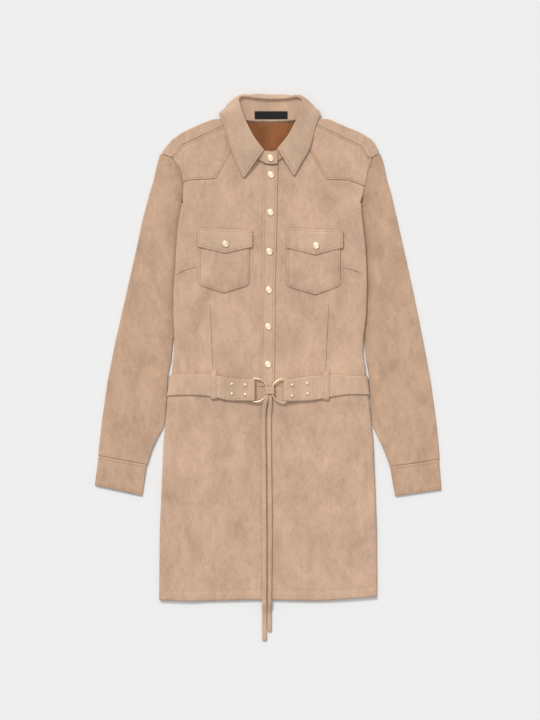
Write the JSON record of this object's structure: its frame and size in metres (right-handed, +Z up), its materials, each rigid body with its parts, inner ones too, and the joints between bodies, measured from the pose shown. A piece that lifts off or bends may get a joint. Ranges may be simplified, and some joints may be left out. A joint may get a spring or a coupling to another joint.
{
  "type": "shirt dress",
  "caption": "Long-sleeved suede shirt dress laid flat, with a pointed collar, snap placket, flap pockets, cuffs and a ringed waist belt tied with a lace.",
  "frame": {"origin": "on the surface under the middle of the dress, measured without its loose tie strands", "axes": "+Y along the dress from hem to collar, +X across it to the right as seen from above, +Z up from the surface"},
  "size_m": [0.606, 0.9539, 0.0198],
  "materials": {
    "suede": "soft short nap, matte",
    "gold_metal": "polished pale gold",
    "label": "woven satin"
  },
  "bodies": {
    "root": {"bodice_front_left": "suede", "bodice_front_right": "suede", "bodice_back": "suede", "skirt_front": "suede", "skirt_back": "suede", "yoke_front_left": "suede", "yoke_front_right": "suede", "yoke_back": "suede", "sleeve_left": "suede", "sleeve_right": "suede", "cuff_left": "suede", "cuff_right": "suede", "collar_stand": "suede", "collar_fall": "suede", "neck_label": "label", "placket": "suede", "pocket_left": "suede", "pocket_right": "suede", "flap_left": "suede", "flap_right": "suede", "belt": "suede", "belt_loop_left": "suede", "belt_loop_right": "suede", "snap_1": "gold_metal", "snap_2": "gold_metal", "snap_3": "gold_metal", "snap_4": "gold_metal", "snap_5": "gold_metal", "snap_6": "gold_metal", "snap_7": "gold_metal", "snap_flap_left": "gold_metal", "snap_flap_right": "gold_metal", "stud_1": "gold_metal", "stud_2": "gold_metal", "stud_3": "gold_metal", "stud_4": "gold_metal", "stud_5": "gold_metal", "stud_6": "gold_metal", "stud_7": "gold_metal", "stud_8": "gold_metal", "ring_left": "gold_metal", "ring_right": "gold_metal", "tie_loop": "suede", "tie_left": "suede", "tie_right": "suede"}
  },
  "joints": []
}
